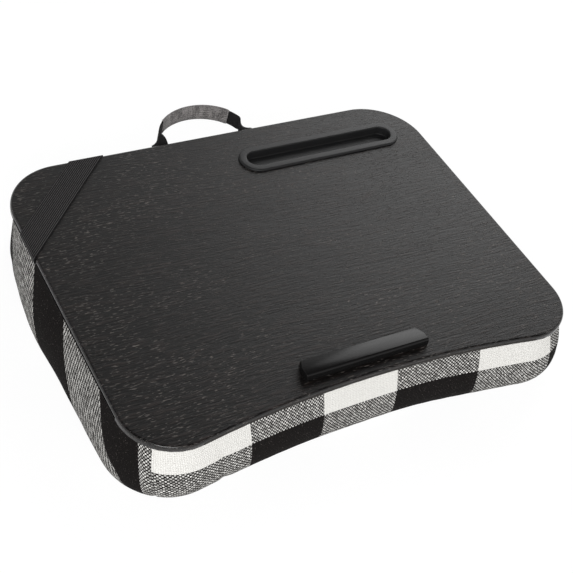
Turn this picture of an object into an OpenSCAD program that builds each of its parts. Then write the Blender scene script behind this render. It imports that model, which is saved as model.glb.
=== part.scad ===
// Cushioned lap desk: a wood-grain board with a phone slot, a device ledge, an elastic
// corner strap and a webbing handle, on a bead-filled cushion in checked cloth.
// The origin is on the underside, at the middle of the board, with +Y to the rear.

/* [Board] */
// Width of the board
board_w = 468; // [420:1:520]
// Depth of the board, from the rear edge to the front corners
board_d = 361; // [340:1:400]
// Thickness of the fibreboard core
core_t = 3.2; // [3:0.1:5]
// Thickness of the wood-grain facing
facing_t = 2.8; // [2.6:0.1:4]
// Radius of the facing's rounded top edge
edge_round = 2.5; // [1:0.1:2.5]
// Radius of the rear corners
rear_r = 60; // [45:1:75]
// Radius of the front corners
front_r = 50; // [40:1:60]
// Depth of the hollow in the front edge
scoop = 15.5; // [10:0.5:20]

/* [Cushion] */
// Height of the cushion under the board
cushion_h = 72; // [60:1:85]
// Thickness of the cover's cloth
cloth_t = 1.2; // [0.8:0.1:1.6]
// How far the cover's top edge stays behind the board's edge
cover_inset = 4; // [2:0.5:8]
// How far the sides bulge past the board's edge
bulge = 9; // [4:0.5:12]
// Height of the rolled lower edge
roll_h = 26; // [18:1:32]
// Depth of the rolled lower edge, inwards
roll_d = 30; // [20:1:40]

/* [Phone slot] */
// Length of the slot's opening
slot_l = 176; // [150:1:182]
// Width of the slot's opening
slot_w = 21; // [17:0.5:24]
// Width of the rim around the opening
rim_w = 8.5; // [6:0.5:10]
// Height of the rim over the board
rim_h = 2.6; // [1.6:0.1:4]
// Wall of the slot's well
well_wall = 2.4; // [1.6:0.1:3]
// Floor of the slot's well
well_floor = 1.2; // [1:0.1:1.2]
// Distance from the phone slot's opening to the board's right edge
slot_margin = 38; // [36:0.5:44]
// Distance of the slot's middle from the rear edge
slot_from_rear = 50.5; // [44:0.5:70]

/* [Device ledge] */
// Length of the ledge
ledge_l = 130; // [90:1:160]
// Depth of the ledge from front to rear
ledge_d = 20; // [15:0.5:24]
// Height of the ledge
ledge_h = 8.6; // [7.5:0.1:11]
// Distance of the ledge's front from the board's front corners
ledge_from_front = 27.5; // [24:0.5:40]
// Distance between the ledge's two screws
ledge_screw_gap = 90; // [60:1:100]
// Diameter of the ledge's screws
screw_d = 3.2; // [2.5:0.1:3.6]

/* [Elastic strap] */
// Width of the elastic
strap_w = 26; // [18:0.5:32]
// Thickness of the elastic
strap_t = 1.3; // [0.8:0.1:1.5]
// Distance along the left edge from the rear edge to the strap's middle
strap_left = 101; // [95:1:125]
// Distance along the rear edge from the left edge to the strap's middle
strap_rear = 96; // [92:1:120]
// Length of the strap's ends under the board
strap_tab = 20; // [12:1:26]

/* [Handle] */
// Half of the loop's width, to the middle of the webbing
loop_a = 50; // [40:1:60]
// How far the loop reaches from the rear edge
loop_b = 41; // [34:1:55]
// Distance of the loop's middle from the board's centre line
loop_x = -5; // [-15:1:0]
// Upward lean of the loop at rest
loop_lean = 5; // [5:1:25]
// Width of the webbing
web_w = 17; // [14:0.5:19]
// Thickness of the webbing
web_t = 1.6; // [1.2:0.1:1.7]
// Width of the woven sleeve on the loop
sleeve_w = 20; // [20:0.5:23]
// Thickness of the woven sleeve on the loop
sleeve_t = 3.6; // [3.2:0.1:4.5]
// Length of the webbing's ends under the board
web_tab = 24; // [16:1:30]

/* [Fasteners] */
// Width of a staple's crown
staple_w = 9; // [7:0.5:10]
// Thickness of a staple's wire
staple_t = 0.6; // [0.5:0.1:0.7]
// Length of a staple's legs
staple_leg = 3; // [2.8:0.1:3.1]
// Depth that a staple's crown is sunk into a strap
staple_sink = 0.55; // [0.5:0.05:0.58]

/* [Hidden] */

// Heights of the layers, from the floor up
core_z = cushion_h;
facing_z = core_z + core_t;
top_z = facing_z + facing_t;
rear_y = board_d / 2;
front_y = -board_d / 2;
left_x = -board_w / 2;

// Clearances
fit_gap = 0.3;
screw_gap = 0.2;
bag_gap = 0.3;
cut = 1;

// The front hollow is one arc, tangent to both front corners
front_cx = board_w / 2 - front_r;
front_cy = front_y + front_r;
front_drop = front_r - scoop;
scoop_r = (pow(front_cx, 2) + pow(front_drop, 2) - pow(front_r, 2)) / (2 * (front_r - front_drop));
scoop_cy = front_y + scoop - scoop_r;
scoop_a = atan2(front_cy - scoop_cy, front_cx);

// Steps of the outline's arcs, and the points where the cover's panels are sewn together
rear_steps = 8;
front_steps = 9;
scoop_steps = 14;
seam_step = 4;

function arc(cx, cy, r, a0, a1, n, skip = 0) =
    [for (i = [skip:n - skip]) let (a = a0 + (a1 - a0) * i / n) [cx + r * cos(a), cy + r * sin(a)]];

// The board's outline, moved inwards by inset, as one ring of points from the right side
function outline(inset) = concat(
    arc(board_w / 2 - rear_r, rear_y - rear_r, rear_r - inset, 0, 90, rear_steps),
    arc(rear_r - board_w / 2, rear_y - rear_r, rear_r - inset, 90, 180, rear_steps),
    arc(-front_cx, front_cy, front_r - inset, 180, 360 - scoop_a, front_steps),
    arc(0, scoop_cy, scoop_r + inset, 180 - scoop_a, scoop_a, scoop_steps, 1),
    arc(front_cx, front_cy, front_r - inset, 180 + scoop_a, 360, front_steps));

ring_n = len(outline(0));
rear_left_0 = rear_steps + 1;
front_left_0 = 2 * (rear_steps + 1);
seam_rear_right = seam_step;
seam_rear_left = rear_left_0 + seam_step;
seam_front_left = front_left_0 + seam_step;
seam_front_right = ring_n - 1 - seam_step;

function raise(points, z) = [for (p = points) [p.x, p.y, z]];

// A closed solid through rings of equal length, the first one lowest
module loft(rings) {
    n = len(rings[0]);
    m = len(rings);
    polyhedron(
        points = [for (r = rings) each r],
        faces = concat(
            [[for (i = [0:n - 1]) i]],
            [for (k = [0:m - 2], i = [0:n - 1]) let (j = (i + 1) % n)
                each [[k * n + i, (k + 1) * n + i, (k + 1) * n + j],
                      [k * n + i, (k + 1) * n + j, k * n + j]]],
            [[for (i = [n - 1:-1:0]) (m - 1) * n + i]]),
        convexity = 6);
}

// A sheet between an outer and an inner grid of points of the same size
module sheet(outer, inner) {
    m = len(outer);
    n = len(outer[0]);
    function o(k, i) = k * n + i;
    function q(k, i) = (m + k) * n + i;
    polyhedron(
        points = concat([for (r = outer) each r], [for (r = inner) each r]),
        faces = concat(
            [for (k = [0:m - 2], i = [0:n - 2])
                each [[o(k, i), o(k + 1, i), o(k + 1, i + 1)], [o(k, i), o(k + 1, i + 1), o(k, i + 1)],
                      [q(k, i), q(k + 1, i + 1), q(k + 1, i)], [q(k, i), q(k, i + 1), q(k + 1, i + 1)]]],
            [for (i = [0:n - 2])
                each [[o(0, i), o(0, i + 1), q(0, i + 1)], [o(0, i), q(0, i + 1), q(0, i)],
                      [o(m - 1, i), q(m - 1, i + 1), o(m - 1, i + 1)],
                      [o(m - 1, i), q(m - 1, i), q(m - 1, i + 1)]]],
            [for (k = [0:m - 2])
                each [[o(k, 0), q(k + 1, 0), o(k + 1, 0)], [o(k, 0), q(k, 0), q(k + 1, 0)],
                      [o(k, n - 1), o(k + 1, n - 1), q(k + 1, n - 1)],
                      [o(k, n - 1), q(k + 1, n - 1), q(k, n - 1)]]]),
        convexity = 6);
}

// The cushion's side profile as [inset, height], from the top edge down to the roll
side_steps = 5;
roll_steps = 6;
roll_seam = 3;
function side_level(i, t) = let (s = i / side_steps)
    [cover_inset + t - (cover_inset + bulge) * sin(90 * s), cushion_h - (cushion_h - roll_h) * s];
function roll_level(i, t) = let (a = 90 * i / roll_steps)
    [roll_d - bulge - (roll_d - t) * cos(a), roll_h - (roll_h - t) * sin(a)];
function level_ring(level) = raise(outline(level[0]), level[1]);

function side_rings(t) = concat(
    [for (i = [0:side_steps - 1]) level_ring(side_level(i, t))],
    [for (i = [0:roll_seam]) level_ring(roll_level(i, t))]);

module board_layer(t) { linear_extrude(t) polygon(outline(0)); }

module stadium(l, w, h) {
    linear_extrude(h) {
        square([l - w, w], center = true);
        for (s = [-1, 1]) translate([s * (l - w) / 2, 0]) circle(d = w, $fn = 48);
    }
}

well_l = slot_l + 2 * well_wall;
well_w = slot_w + 2 * well_wall;
slot_x = board_w / 2 - slot_margin - slot_l / 2;
slot_y = rear_y - slot_from_rear;
module at_slot(z) { translate([slot_x, slot_y, z]) children(); }
module slot_cut(z, h) { at_slot(z) stadium(well_l + 2 * fit_gap, well_w + 2 * fit_gap, h); }

ledge_y = front_y + ledge_from_front;
module at_ledge_screws(z) {
    for (s = [-1, 1]) translate([s * ledge_screw_gap / 2, ledge_y + ledge_d / 2, z]) children();
}
screw_head_d = 2 * screw_d;
screw_head_h = screw_d / 2;
module ledge_screw_holes() {
    at_ledge_screws(core_z - cut) cylinder(d = screw_d + 2 * screw_gap, h = top_z - core_z + 2 * cut, $fn = 32);
    at_ledge_screws(core_z - cut)
        cylinder(d = screw_head_d + 2 * screw_gap, h = screw_head_h + screw_gap + cut, $fn = 32);
}

// Shallow rebates under the core take the ends of the elastic and of the handle's webbing
rebate = 1.8;
strap_ly = rear_y - strap_left;
strap_rx = left_x + strap_rear;
strap_angle = atan2(strap_left, strap_rear);
strap_edge_l = strap_w / cos(strap_angle);
strap_edge_r = strap_w / sin(strap_angle);
function tab_left(len, grow) = [
    [left_x - strap_t, strap_ly - strap_edge_l / 2 - grow],
    [left_x - strap_t, strap_ly + strap_edge_l / 2 + grow],
    [left_x + len, strap_ly + strap_edge_l / 2 + grow - len * tan(strap_angle)],
    [left_x + len, strap_ly - strap_edge_l / 2 - grow - len * tan(strap_angle)]];
function tab_rear(len, grow) = [
    [strap_rx - strap_edge_r / 2 - grow, rear_y + strap_t],
    [strap_rx + strap_edge_r / 2 + grow, rear_y + strap_t],
    [strap_rx + strap_edge_r / 2 + grow + len / tan(strap_angle), rear_y - len],
    [strap_rx - strap_edge_r / 2 - grow + len / tan(strap_angle), rear_y - len]];

module at_handle_tabs(z) { for (s = [-1, 1]) translate([loop_x + s * loop_a, rear_y, z]) children(); }

module core_rebates() {
    translate([0, 0, core_z - cut]) linear_extrude(rebate + cut) {
        polygon(tab_left(strap_tab + fit_gap, fit_gap));
        polygon(tab_rear(strap_tab + fit_gap, fit_gap));
    }
    at_handle_tabs(core_z - cut) translate([-web_w / 2 - fit_gap, -web_tab - fit_gap, 0])
        cube([web_w + 2 * fit_gap, web_tab + fit_gap + cut, rebate + cut]);
}

module board_core() {
    color("#2b2522") difference() {
        translate([0, 0, core_z]) board_layer(core_t);
        slot_cut(core_z - cut, core_t + 2 * cut);
        ledge_screw_holes();
        core_rebates();
    }
}

round_steps = 4;
module woodgrain_facing() {
    color("#2f2d2e") difference() {
        loft(concat([raise(outline(0), facing_z)],
            [for (i = [0:round_steps]) let (a = 90 * i / round_steps)
                raise(outline(edge_round * (1 - cos(a))), top_z - edge_round * (1 - sin(a)))]));
        slot_cut(facing_z - cut, facing_t + 2 * cut);
        ledge_screw_holes();
    }
}

rim_step = 1.4;
well_z = cushion_h - cloth_t - 0.9;
module phone_slot_insert() {
    color("#3a3a3b") at_slot(0) difference() {
        union() {
            translate([0, 0, well_z]) stadium(well_l, well_w, top_z - well_z);
            translate([0, 0, top_z]) stadium(slot_l + 2 * rim_w, slot_w + 2 * rim_w, rim_h - rim_step);
            translate([0, 0, top_z]) stadium(slot_l + 2 * rim_w - rim_step, slot_w + 2 * rim_w - rim_step, rim_h);
        }
        translate([0, 0, well_z + well_floor]) stadium(slot_l, slot_w, top_z + rim_h - well_z);
    }
}

// The ledge has a plumb front, a rounded front top edge and a top that falls to the rear
ledge_nose = 2.4;
ledge_rear_h = 0.76 * ledge_h;
ledge_chamfer = 5;
ledge_end_y = 0.5 * ledge_d;
module device_ledge() {
    color("#1c1c1d") difference() {
        intersection() {
            translate([-ledge_l / 2, ledge_y, top_z]) rotate([90, 0, 90]) linear_extrude(ledge_l)
                polygon(concat([[0, 0]],
                    arc(ledge_nose, ledge_h - ledge_nose, ledge_nose, 180, 90, 6),
                    arc(ledge_d - ledge_nose, ledge_rear_h - ledge_nose, ledge_nose, 80, 0, 5),
                    [[ledge_d, 0]]));
            translate([0, ledge_y, top_z - cut]) linear_extrude(ledge_h + 2 * cut)
                polygon([[-ledge_l / 2, -cut], [ledge_l / 2, -cut], [ledge_l / 2, ledge_end_y],
                         [ledge_l / 2 - ledge_chamfer, ledge_d + cut],
                         [-ledge_l / 2 + ledge_chamfer, ledge_d + cut], [-ledge_l / 2, ledge_end_y]]);
        }
        at_ledge_screws(top_z - cut) cylinder(d = screw_d + 0.1, h = ledge_pilot + cut, $fn = 32);
    }
}

ledge_pilot = 0.6 * ledge_h;
module ledge_screws() {
    color("#8d8f92") at_ledge_screws(core_z) {
        cylinder(d = screw_head_d, h = screw_head_h, $fn = 32);
        cylinder(d = screw_d, h = top_z - core_z + ledge_pilot - screw_gap, $fn = 32);
    }
}

// The elastic lies across the corner, wraps both edges and ends in the core's rebates
strap_z = core_z + 0.1;
module elastic_strap() {
    color("#1d1d1f") {
        translate([0, 0, top_z]) linear_extrude(strap_t) polygon([
            [left_x - strap_t, strap_ly - strap_edge_l / 2],
            [left_x - strap_t, strap_ly + strap_edge_l / 2],
            [strap_rx - strap_edge_r / 2, rear_y + strap_t],
            [strap_rx + strap_edge_r / 2, rear_y + strap_t]]);
        translate([left_x - strap_t, strap_ly - strap_edge_l / 2, strap_z])
            cube([strap_t, strap_edge_l, top_z - strap_z]);
        translate([strap_rx - strap_edge_r / 2, rear_y, strap_z])
            cube([strap_edge_r, strap_t, top_z - strap_z]);
        translate([0, 0, strap_z]) linear_extrude(strap_t) polygon(tab_left(strap_tab, 0));
        translate([0, 0, strap_z]) linear_extrude(strap_t) polygon(tab_rear(strap_tab, 0));
    }
}

// A staple with its crown down, centred on its crown's top
module staple() {
    translate([-staple_w / 2, -staple_t / 2, -staple_t]) cube([staple_w, staple_t, staple_t]);
    for (s = [0, 1]) translate([-staple_w / 2 + s * (staple_w - staple_t), -staple_t / 2, -staple_t])
        cube([staple_t, staple_t, staple_leg]);
}

tab_mid = 0.5;
module strap_staples() {
    color("#9a9c9e") {
        for (s = [-1, 1]) translate([left_x + strap_tab * tab_mid,
                strap_ly - strap_tab * tab_mid * tan(strap_angle) + s * strap_edge_l / 4, strap_z + staple_sink])
            rotate(90) staple();
        for (s = [-1, 1]) translate([strap_rx + strap_tab * tab_mid / tan(strap_angle) + s * strap_edge_r / 4,
                rear_y - strap_tab * tab_mid, strap_z + staple_sink]) staple();
    }
}

// The loop of webbing: flat where it leaves the board, on edge round the arch
web_z = core_z + 0.1 + web_t / 2;
pivot_y = rear_y + 1.5;
loop_steps = 24;
sleeve_from = 5;
twist_d = 15;
function loop_centre(i) = let (a = 180 - 180 * i / loop_steps) [loop_a * cos(a), loop_b * sin(a)];
function loop_dir(i) = let (a = 180 - 180 * i / loop_steps, v = [loop_a * sin(a), -loop_b * cos(a)]) v / norm(v);
function ease(x) = let (c = min(1, max(0, x))) c * c * (3 - 2 * c);
function loop_twist(i) = 90 * (1 - ease(loop_centre(i).y / twist_d));
function lean(p, q, h) = [loop_x + p, pivot_y + q * cos(loop_lean) - h * sin(loop_lean),
                          web_z + q * sin(loop_lean) + h * cos(loop_lean)];
function loop_corner(i, w, t) = let (c = loop_centre(i), d = loop_dir(i), a = loop_twist(i),
        side = t * cos(a) + w * sin(a), up = w * cos(a) - t * sin(a))
    lean(c.x + side * d.y, c.y - side * d.x, up);
function loop_ring(i, w, t) =
    [for (k = [[-1, -1], [1, -1], [1, 1], [-1, 1]]) loop_corner(i, k[0] * w / 2, k[1] * t / 2)];

module loop(first, last, w, t) { loft([for (i = [first:last]) loop_ring(i, w, t)]); }

module handle_webbing() { color("#242325") loop(0, loop_steps, web_w, web_t); }

sleeve_fit = 0.1;
module handle_sleeve() {
    color("#77716f") difference() {
        loop(sleeve_from, loop_steps - sleeve_from, sleeve_w, sleeve_t);
        loop(sleeve_from - 1, loop_steps - sleeve_from + 1, web_w + 2 * sleeve_fit, web_t + 2 * sleeve_fit);
    }
}

module handle_tab() {
    translate([-web_w / 2, -web_tab, web_z - web_t / 2]) cube([web_w, web_tab, web_t]);
}
module handle_tab_left() { color("#242325") translate([loop_x - loop_a, rear_y, 0]) handle_tab(); }
module handle_tab_right() { color("#242325") translate([loop_x + loop_a, rear_y, 0]) handle_tab(); }

module handle_staples() {
    color("#9a9c9e") for (k = [0.3, 0.7]) at_handle_tabs(web_z - web_t / 2 + staple_sink)
        translate([0, -web_tab * k, 0]) staple();
}

// The cover: a flat top panel, four side panels and a bottom panel rolled up to meet them
module cover_top_panel() {
    color("#d9d7d2") difference() {
        translate([0, 0, cushion_h - cloth_t]) linear_extrude(cloth_t) polygon(outline(cover_inset + cloth_t));
        slot_cut(cushion_h - cloth_t - cut, cloth_t + 2 * cut);
    }
}

module side_panel(first, last) {
    function part(rings) = [for (r = rings) [for (i = [first:last]) r[i % ring_n]]];
    sheet(part(side_rings(0)), part(side_rings(cloth_t)));
}
module cover_front_panel() { color("#e6e3dc") side_panel(seam_front_left, seam_front_right); }
module cover_left_panel() { color("#55524f") side_panel(seam_rear_left, seam_front_left); }
module cover_rear_panel() { color("#8a8784") side_panel(seam_rear_right, seam_rear_left); }
module cover_right_panel() { color("#55524f") side_panel(seam_front_right, ring_n + seam_rear_right); }

module cover_bottom_panel() {
    color("#bdbab5") loft(concat(
        [for (i = [roll_steps:-1:roll_seam]) level_ring(roll_level(i, 0))],
        [for (i = [roll_seam:roll_steps]) level_ring(roll_level(i, cloth_t))]));
}

// The left half of an inset outline, closed along the middle
function half_outline(inset) = let (ring = outline(inset)) concat(
    [[-bag_gap, rear_y - inset]],
    [for (i = [rear_left_0:front_left_0 + front_steps + scoop_steps / 2 - 1]) ring[i]],
    [[-bag_gap, scoop_cy + scoop_r + inset]]);
function half_ring(level) = raise(half_outline(level[0]), level[1]);

// Two bags of beads fill the cover, one on each side of the middle
bag_top = well_z - 0.2;
module bead_bag() {
    t = cloth_t + bag_gap;
    loft(concat([for (i = [roll_steps:-1:0]) half_ring(roll_level(i, t))],
        [for (i = [side_steps - 1:-1:1]) half_ring(side_level(i, t))],
        [half_ring([side_level(0, t)[0], bag_top])]));
}
module bead_bag_left() { color("#f0efec") bead_bag(); }
module bead_bag_right() { color("#f0efec") mirror([1, 0, 0]) bead_bag(); }

// Staples through the top panel into the core, all round the edge
cover_staple_inset = 32;
module cover_staples() {
    ring = outline(cover_staple_inset);
    color("#9a9c9e") for (k = [1:5:ring_n - 1]) let (p = ring[k], q = ring[k - 1])
        translate([p.x, p.y, cushion_h - cloth_t]) rotate(atan2(p.y - q.y, p.x - q.x)) staple();
}

board_core();
woodgrain_facing();
phone_slot_insert();
device_ledge();
ledge_screws();
elastic_strap();
strap_staples();
handle_webbing();
handle_sleeve();
handle_tab_left();
handle_tab_right();
handle_staples();
cover_top_panel();
cover_front_panel();
cover_left_panel();
cover_rear_panel();
cover_right_panel();
cover_bottom_panel();
bead_bag_left();
bead_bag_right();
cover_staples();
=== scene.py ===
import math

import bmesh
import bpy
import numpy as np
from mathutils import Matrix, Vector


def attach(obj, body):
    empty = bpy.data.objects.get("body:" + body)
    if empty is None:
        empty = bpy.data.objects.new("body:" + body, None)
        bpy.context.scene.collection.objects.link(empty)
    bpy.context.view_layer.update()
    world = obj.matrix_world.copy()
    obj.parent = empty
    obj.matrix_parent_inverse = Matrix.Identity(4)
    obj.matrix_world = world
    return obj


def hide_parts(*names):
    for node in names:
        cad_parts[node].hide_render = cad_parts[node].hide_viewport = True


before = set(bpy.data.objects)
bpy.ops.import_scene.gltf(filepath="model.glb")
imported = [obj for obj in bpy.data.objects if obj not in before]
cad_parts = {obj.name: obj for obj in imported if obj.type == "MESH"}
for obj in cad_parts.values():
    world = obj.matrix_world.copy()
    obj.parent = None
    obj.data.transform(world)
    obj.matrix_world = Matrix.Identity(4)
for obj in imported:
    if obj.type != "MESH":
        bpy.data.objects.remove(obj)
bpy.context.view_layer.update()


# The worktop's facing: wood-grain laminate, black and satin, pressed round the edge of the
# fibreboard core. Its fine grain runs from side to side, and its short pores carry a painted highlight.
MM = 0.001
BOARD_W, BOARD_D = 468 * MM, 361 * MM
REAR_R, FRONT_R, SCOOP = 60 * MM, 50 * MM, 15.5 * MM
CORE_Z, FACING_Z, TOP_Z = 72 * MM, 75.2 * MM, 78 * MM
EDGE_ROUND, LIP = 2.5 * MM, 0.6 * MM
LEFT_X, REAR_Y, FRONT_Y = -BOARD_W / 2, BOARD_D / 2, -BOARD_D / 2


def outline(spacing):
    """Points round the board, anticlockwise from the right, with outward normals."""
    rear_x, rear_y = BOARD_W / 2 - REAR_R, REAR_Y - REAR_R
    front_x, front_y = BOARD_W / 2 - FRONT_R, FRONT_Y + FRONT_R
    drop = FRONT_R - SCOOP
    scoop_r = (front_x ** 2 + drop ** 2 - FRONT_R ** 2) / (2 * (FRONT_R - drop))
    scoop_y = FRONT_Y + SCOOP - scoop_r
    lean = math.degrees(math.atan2(front_y - scoop_y, front_x))
    # Each arc's centre, radius, first and last angle, and -1 where the edge is hollow.
    runs = [(rear_x, rear_y, REAR_R, 0, 90, 1), (-rear_x, rear_y, REAR_R, 90, 180, 1),
            (-front_x, front_y, FRONT_R, 180, 360 - lean, 1),
            (0, scoop_y, scoop_r, 180 - lean, lean, -1),
            (front_x, front_y, FRONT_R, 180 + lean, 360, 1)]
    points, normals = [], []
    for x, y, radius, start, end, side in runs:
        count = max(2, round(abs(math.radians(end - start)) * radius / spacing))
        angles = np.radians(np.linspace(start, end, count + 1))
        if side < 0:
            angles = angles[1:-1]
        facing = np.stack([np.cos(angles), np.sin(angles)], 1)
        run = np.array([x, y]) + radius * facing
        if points and np.linalg.norm(run[0] - points[-1]) > 2 * spacing:
            gap = run[0] - points[-1]
            steps = round(np.linalg.norm(gap) / spacing)
            points += [points[-1] + gap * k / steps for k in range(1, steps)]
            normals += [side * facing[0]] * (steps - 1)
        points += list(run)
        normals += list(side * facing)
    gap = points[0] - points[-1]
    steps = round(np.linalg.norm(gap) / spacing)
    normals += [normals[0]] * (steps - 1)
    points += [points[-1] + gap * k / steps for k in range(1, steps)]
    return np.array(points), np.array(normals)


def level(points, normals, inset, height):
    """The outline drawn in by the inset, as a ring at one height."""
    flat = points - normals * inset
    return np.column_stack([flat, np.full(len(flat), height)])


SLOT_L, SLOT_W, RIM_W, RIM_H = 176 * MM, 21 * MM, 8.5 * MM, 2.6 * MM
SLOT_X, SLOT_Y, WELL_WALL = 108 * MM, REAR_Y - 50.5 * MM, 2.4 * MM
WELL_Z, WELL_FLOOR, FIT_GAP = 69.9 * MM, 1.2 * MM, 0.3 * MM
SLOT_STEPS = 24


def slot_ring(grow, height):
    """The slot's outline, grown outwards, anticlockwise."""
    radius, reach = SLOT_W / 2 + grow, (SLOT_L - SLOT_W) / 2
    angles = np.radians(np.linspace(-90, 90, SLOT_STEPS + 1))
    right = np.stack([reach + radius * np.cos(angles), radius * np.sin(angles)], 1)
    ring = np.concatenate([right, -right]) + (SLOT_X, SLOT_Y)
    return np.column_stack([ring, np.full(len(ring), height)])


def add_piece(name, points, faces, finish, uv=None):
    mesh = bpy.data.meshes.new(name)
    mesh.from_pydata([tuple(p) for p in points], [], faces)
    if uv is not None:
        layer = mesh.uv_layers.new(name="UVMap")
        layer.data.foreach_set("uv", np.asarray(uv, float).ravel())
    piece = bpy.data.objects.new(name, mesh)
    bpy.context.collection.objects.link(piece)
    mesh.materials.append(finish.material)
    return piece


def soften(piece, angle=35):
    """Shades the piece smooth, except over edges sharper than the angle."""
    work = bmesh.new()
    work.from_mesh(piece.data)
    for face in work.faces:
        face.smooth = True
    for edge in work.edges:
        edge.smooth = len(edge.link_faces) == 2 and edge.calc_face_angle(0) < math.radians(angle)
    work.to_mesh(piece.data)
    work.free()


def ring_faces(count, rings):
    """Quads between closed rings of count points each."""
    return [(k * count + i, k * count + (i + 1) % count,
             (k + 1) * count + (i + 1) % count, (k + 1) * count + i)
            for k in range(rings - 1) for i in range(count)]


def pierced_plate(name, rings, low, high, finish):
    """A lofted plate with the slot cut through it from low to high."""
    count = len(rings[0])
    holes = [slot_ring(WELL_WALL + FIT_GAP, high), slot_ring(WELL_WALL + FIT_GAP, low)]
    points = np.concatenate(rings + holes)
    start, hole = len(rings) * count, len(holes[0])
    faces = ring_faces(count, len(rings))
    faces += [tuple(start + v for v in q) for q in ring_faces(hole, 2)]
    piece = add_piece(name, points, faces, finish)
    work = bmesh.new()
    work.from_mesh(piece.data)
    work.verts.ensure_lookup_table()
    for first, inner in ((0, start + hole), ((len(rings) - 1) * count, start)):
        loops = [work.edges.get((work.verts[s + i], work.verts[s + (i + 1) % n]))
                 for s, n in ((first, count), (inner, hole)) for i in range(n)]
        bmesh.ops.triangle_fill(work, use_beauty=True, edges=loops)
    bmesh.ops.recalc_face_normals(work, faces=work.faces)
    work.to_mesh(piece.data)
    work.free()
    return piece


class Wire:
    """One output of a node, which can stand in a sum."""

    def __init__(self, graph, made, output=0):
        self.graph = graph
        self.made = made
        self.socket = made.outputs[output] if len(made.outputs) else None

    def other(self, output):
        return Wire(self.graph, self.made, output)

    def math(self, operation, *others):
        return self.graph.node("ShaderNodeMath", {"operation": operation}, dict(enumerate((self, *others))))

    def __add__(self, other):
        return self.math("ADD", other)

    def __sub__(self, other):
        return self.math("SUBTRACT", other)

    def __rsub__(self, other):
        return self.math("MULTIPLY", -1) + other

    def __mul__(self, other):
        return self.math("MULTIPLY", other)

    def __truediv__(self, other):
        return self.math("DIVIDE", other)

    __radd__ = __add__
    __rmul__ = __mul__


class Graph:
    """A node tree under construction."""

    def __init__(self, tree):
        self.tree = tree
        tree.nodes.clear()

    def plug(self, socket, value):
        if isinstance(value, Wire):
            self.tree.links.new(value.socket, socket)
        elif socket.type == "RGBA":
            socket.default_value = (*value, 1)
        else:
            socket.default_value = value

    def node(self, kind, settings=None, inputs=None, output=0):
        """Adds a node, with its settings first, and gives the wire from one of its outputs."""
        made = self.tree.nodes.new(kind)
        for key, value in (settings or {}).items():
            setattr(made, key, value)
        for key, value in (inputs or {}).items():
            self.plug(made.inputs[key], value)
        return Wire(self, made, output)


class Finish(Graph):
    """A material under construction, with one principled shader."""

    # A Mix node's colour sockets, which share their names with its other sockets.
    MIX_A, MIX_B, MIX_RESULT = 6, 7, 2

    def __init__(self, name, **constants):
        self.material = bpy.data.materials.new(name)
        self.material.use_nodes = True
        super().__init__(self.material.node_tree)
        self.shader = self.node("ShaderNodeBsdfPrincipled")
        self.output = self.node("ShaderNodeOutputMaterial", None, {"Surface": self.shader})
        for key, value in constants.items():
            self.set(key.replace("_", " "), value)

    def set(self, socket, value):
        self.plug(self.shader.made.inputs[socket], value)

    def mix(self, factor, low, high):
        return self.node("ShaderNodeMix", {"data_type": "RGBA"}, {
            0: factor, self.MIX_A: low, self.MIX_B: high}, self.MIX_RESULT)

    def noise(self, where, scale, detail=2, roughness=0.5, stretch=(1, 1, 1)):
        placed = self.node("ShaderNodeMapping", None, {"Vector": where, "Scale": stretch})
        return self.node("ShaderNodeTexNoise", None, {
            "Vector": placed, "Scale": scale, "Detail": detail, "Roughness": roughness})

    def step(self, value, low, high):
        return self.node("ShaderNodeMapRange", {"interpolation_type": "SMOOTHSTEP"}, {
            "Value": value, "From Min": low, "From Max": high})

    def bump(self, height, depth, strength=1):
        return self.node("ShaderNodeBump", None, {
            "Strength": strength, "Distance": depth, "Height": height})

    def place(self):
        return self.node("ShaderNodeTexCoord", output="Object")

    def cloth_place(self):
        """Metres across and along the cloth, from the piece's UV map."""
        across = self.node("ShaderNodeSeparateXYZ", None, {"Vector": self.node("ShaderNodeUVMap")}, "X")
        return across, across.other("Y")


GRAIN_DARK, GRAIN_PALE, PORE_GLINT = (0.0018, 0.0013, 0.0012), (0.019, 0.0135, 0.0118), (0.15, 0.132, 0.12)
laminate = Finish("woodgrain_laminate", Specular_IOR_Level=0.3)
spot = laminate.place()
surface_normal = laminate.node("ShaderNodeNewGeometry", output="Normal")
facing_up = laminate.node("ShaderNodeSeparateXYZ", None, {"Vector": surface_normal}, "Z")
edge = 1 - laminate.step(facing_up, 0.85, 0.99)
wave = laminate.noise(spot, 9, 1, stretch=(0.5, 1, 1))
drift = laminate.node("ShaderNodeCombineXYZ", None, {"Y": wave * 0.02})
grain_place = laminate.node("ShaderNodeVectorMath", {"operation": "ADD"}, {0: spot, 1: drift})
fine = laminate.noise(grain_place, 560, 3, 0.62, stretch=(0.1, 1, 1))
broad = laminate.noise(grain_place, 60, 3, 0.55, stretch=(0.12, 1, 1))
streak = laminate.step(fine, 0.47, 0.72)
pores = laminate.step(laminate.noise(grain_place, 780, 2, 0.5, stretch=(0.2, 1, 1)), 0.6, 0.7)
glint_patch = laminate.step(laminate.noise(spot, 14, 2, stretch=(0.6, 1, 1)), 0.4, 0.62)
shade = laminate.mix(streak * (0.4 + broad), GRAIN_DARK, GRAIN_PALE)
# Painted highlight: the pores are pale flecks in the base colour, brighter in random patches.
laminate.set("Base Color", laminate.mix(pores * (0.2 + glint_patch * 0.5), shade, PORE_GLINT))
laminate.set("Roughness", 0.36 + fine * 0.12 + broad * 0.06 - edge * 0.2)
laminate.set("Coat Weight", edge * 0.3)
laminate.set("Normal", laminate.bump(fine * 1.2 + broad * 0.3 - pores * 0.5, 0.4 * MM))

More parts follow.
